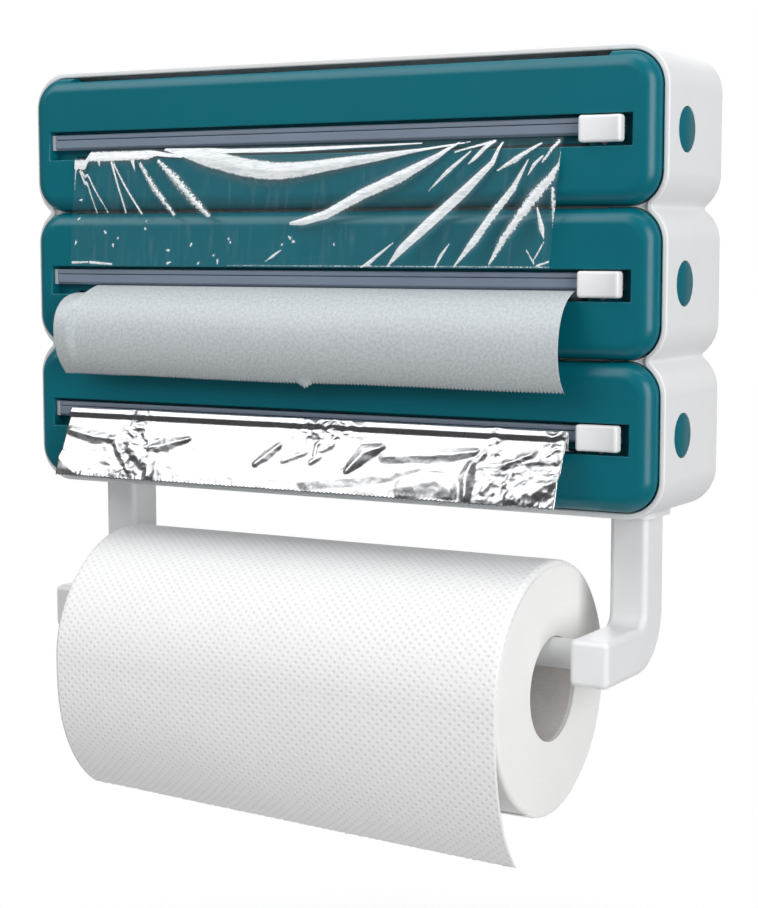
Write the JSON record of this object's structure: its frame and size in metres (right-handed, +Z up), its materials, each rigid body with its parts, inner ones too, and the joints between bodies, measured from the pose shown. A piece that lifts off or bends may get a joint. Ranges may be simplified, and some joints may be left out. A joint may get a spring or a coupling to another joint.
{
  "type": "kitchen wrap dispenser",
  "caption": "Wall-hung kitchen dispenser with stacked wrap bays behind tilting front covers, sliding cutters, side push plugs and a towel roll on arms below.",
  "frame": {"origin": "centre of the wall-screw pattern on the back face of the back panel", "axes": "+X to the right seen from the front, +Y into the wall, +Z up"},
  "size_m": [0.377, 0.1313, 0.3914],
  "materials": {
    "white_casing": "satin",
    "teal_cover": "satin",
    "blue_grey_rail": "matte",
    "steel": "bright",
    "card": "plain",
    "cling_film": "clear film",
    "baking_paper": "translucent matt",
    "foil": "bright crumpled",
    "towel": "embossed tissue"
  },
  "bodies": {
    "casing": {"casing_shell": "white_casing", "back_panel": "white_casing", "panel_screws": "steel", "divider_upper": "white_casing", "divider_lower": "white_casing", "hinge_brackets": "white_casing", "hinge_pins": "steel", "arm_socket_left": "white_casing", "arm_socket_right": "white_casing"},
    "film_cover_body": {"film_cover": "teal_cover", "film_rail": "blue_grey_rail", "film_sheet": "cling_film"},
    "film_slider": {"film_knob": "white_casing", "film_carriage": "white_casing", "film_blade": "steel"},
    "film_reel": {"film_core": "card", "film_roll": "cling_film", "film_cups": "white_casing", "film_spring_left": "steel", "film_spring_right": "steel"},
    "film_button_left": {"film_plug_left": "teal_cover"},
    "film_button_right": {"film_plug_right": "teal_cover"},
    "paper_cover_body": {"paper_cover": "teal_cover", "paper_rail": "blue_grey_rail", "paper_sheet": "baking_paper"},
    "paper_slider": {"paper_knob": "white_casing", "paper_carriage": "white_casing", "paper_blade": "steel"},
    "paper_reel": {"paper_core": "card", "paper_roll": "baking_paper", "paper_cups": "white_casing", "paper_spring_left": "steel", "paper_spring_right": "steel"},
    "paper_button_left": {"paper_plug_left": "teal_cover"},
    "paper_button_right": {"paper_plug_right": "teal_cover"},
    "foil_cover_body": {"foil_cover": "teal_cover", "foil_rail": "blue_grey_rail", "foil_sheet": "foil"},
    "foil_slider": {"foil_knob": "white_casing", "foil_carriage": "white_casing", "foil_blade": "steel"},
    "foil_reel": {"foil_core": "card", "foil_roll": "foil", "foil_cups": "white_casing", "foil_spring_left": "steel", "foil_spring_right": "steel"},
    "foil_button_left": {"foil_plug_left": "teal_cover"},
    "foil_button_right": {"foil_plug_right": "teal_cover"},
    "towel_frame": {"towel_arm_left": "white_casing", "towel_arm_right": "white_casing", "towel_spindle": "white_casing", "towel_sheet": "towel"},
    "towel_reel": {"towel_core": "card", "towel_roll": "towel"}
  },
  "joints": [
    {"name": "film_cover_hinge", "type": "hinge", "parent": "casing", "child": "film_cover_body", "pos_m": [0, -0.0713, 0.04545], "axis": [1, 0, 0], "range_deg": [0, 48], "deforming": ["film_sheet"]},
    {"name": "film_cutter_slide", "type": "slide", "parent": "film_cover_body", "child": "film_slider", "axis": [-1, 0, 0], "range_m": [0, 0.317]},
    {"name": "film_roll_spin", "type": "hinge", "parent": "casing", "child": "film_reel", "pos_m": [0, -0.048, 0.0735], "axis": [1, 0, 0], "continuous": true},
    {"name": "film_button_left_press", "type": "slide", "parent": "film_reel", "child": "film_button_left", "axis": [1, 0, 0], "range_m": [0, 0.005], "stiffness_N_per_m": 500, "springref_m": -0.004, "deforming": ["film_spring_left"]},
    {"name": "film_button_right_press", "type": "slide", "parent": "film_reel", "child": "film_button_right", "axis": [-1, 0, 0], "range_m": [0, 0.005], "stiffness_N_per_m": 500, "springref_m": -0.004, "deforming": ["film_spring_right"]},
    {"name": "paper_cover_hinge", "type": "hinge", "parent": "casing", "child": "paper_cover_body", "pos_m": [0, -0.0713, -0.02805], "axis": [1, 0, 0], "range_deg": [0, 48], "deforming": ["paper_sheet"]},
    {"name": "paper_cutter_slide", "type": "slide", "parent": "paper_cover_body", "child": "paper_slider", "axis": [-1, 0, 0], "range_m": [0, 0.317]},
    {"name": "paper_roll_spin", "type": "hinge", "parent": "casing", "child": "paper_reel", "pos_m": [0, -0.048, 0], "axis": [1, 0, 0], "continuous": true},
    {"name": "paper_button_left_press", "type": "slide", "parent": "paper_reel", "child": "paper_button_left", "axis": [1, 0, 0], "range_m": [0, 0.005], "stiffness_N_per_m": 500, "springref_m": -0.004, "deforming": ["paper_spring_left"]},
    {"name": "paper_button_right_press", "type": "slide", "parent": "paper_reel", "child": "paper_button_right", "axis": [-1, 0, 0], "range_m": [0, 0.005], "stiffness_N_per_m": 500, "springref_m": -0.004, "deforming": ["paper_spring_right"]},
    {"name": "foil_cover_hinge", "type": "hinge", "parent": "casing", "child": "foil_cover_body", "pos_m": [0, -0.0713, -0.10155], "axis": [1, 0, 0], "range_deg": [0, 48], "deforming": ["foil_sheet"]},
    {"name": "foil_cutter_slide", "type": "slide", "parent": "foil_cover_body", "child": "foil_slider", "axis": [-1, 0, 0], "range_m": [0, 0.317]},
    {"name": "foil_roll_spin", "type": "hinge", "parent": "casing", "child": "foil_reel", "pos_m": [0, -0.048, -0.0735], "axis": [1, 0, 0], "continuous": true},
    {"name": "foil_button_left_press", "type": "slide", "parent": "foil_reel", "child": "foil_button_left", "axis": [1, 0, 0], "range_m": [0, 0.005], "stiffness_N_per_m": 500, "springref_m": -0.004, "deforming": ["foil_spring_left"]},
    {"name": "foil_button_right_press", "type": "slide", "parent": "foil_reel", "child": "foil_button_right", "axis": [-1, 0, 0], "range_m": [0, 0.005], "stiffness_N_per_m": 500, "springref_m": -0.004, "deforming": ["foil_spring_right"]},
    {"name": "towel_frame_pull", "type": "slide", "parent": "casing", "child": "towel_frame", "axis": [0, 0, -1], "range_m": [0, 0.018]},
    {"name": "towel_roll_spin", "type": "hinge", "parent": "towel_frame", "child": "towel_reel", "pos_m": [0, -0.0666, -0.20165], "axis": [1, 0, 0], "continuous": true, "deforming": ["towel_sheet"]}
  ]
}
